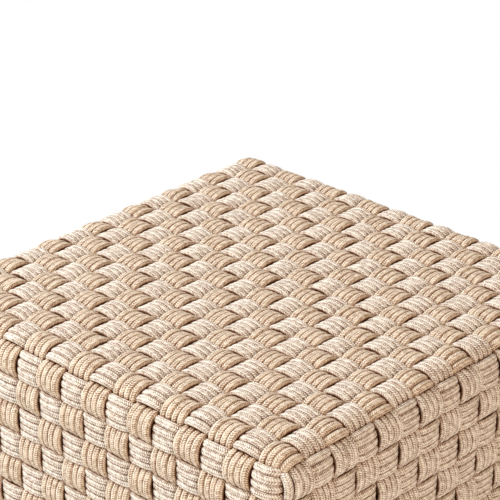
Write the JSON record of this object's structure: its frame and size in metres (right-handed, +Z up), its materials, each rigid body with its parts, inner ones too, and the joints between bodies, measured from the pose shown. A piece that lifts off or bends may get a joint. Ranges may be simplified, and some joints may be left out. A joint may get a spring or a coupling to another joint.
{
  "type": "outdoor ottoman footstool",
  "caption": "Square outdoor ottoman footstool with rounded edges, woven all over in a plain weave of flat braided-cord bands round a tube frame on plastic glides.",
  "frame": {"origin": "on the floor under the middle of the footstool", "axes": "+Z up, front towards -Y, +X to the right seen from the front"},
  "size_m": [0.5202, 0.5202, 0.391],
  "materials": {
    "cord": "round braided outdoor cord, matt, cream and tan",
    "frame": "satin powder-coated aluminium tube, brown",
    "glide": "moulded black plastic"
  },
  "bodies": {
    "root": {"cross_band_01": "cord", "cross_band_02": "cord", "cross_band_03": "cord", "cross_band_04": "cord", "cross_band_05": "cord", "cross_band_06": "cord", "cross_band_07": "cord", "cross_band_08": "cord", "cross_band_09": "cord", "cross_band_10": "cord", "cross_band_11": "cord", "cross_band_12": "cord", "cross_band_13": "cord", "cross_band_14": "cord", "cross_band_15": "cord", "cross_band_16": "cord", "length_band_01": "cord", "length_band_02": "cord", "length_band_03": "cord", "length_band_04": "cord", "length_band_05": "cord", "length_band_06": "cord", "length_band_07": "cord", "length_band_08": "cord", "length_band_09": "cord", "length_band_10": "cord", "length_band_11": "cord", "length_band_12": "cord", "length_band_13": "cord", "length_band_14": "cord", "length_band_15": "cord", "length_band_16": "cord", "hoop_band_01": "cord", "hoop_band_02": "cord", "hoop_band_03": "cord", "hoop_band_04": "cord", "hoop_band_05": "cord", "hoop_band_06": "cord", "hoop_band_07": "cord", "hoop_band_08": "cord", "hoop_band_09": "cord", "hoop_band_10": "cord", "hoop_band_11": "cord", "hoop_band_12": "cord", "leg_front_left": "frame", "leg_front_right": "frame", "leg_back_right": "frame", "leg_back_left": "frame", "top_rail_front": "frame", "top_rail_right": "frame", "top_rail_back": "frame", "top_rail_left": "frame", "bottom_rail_front": "frame", "bottom_rail_right": "frame", "bottom_rail_back": "frame", "bottom_rail_left": "frame", "glide_front_left": "glide", "glide_front_right": "glide", "glide_back_right": "glide", "glide_back_left": "glide"}
  },
  "joints": []
}
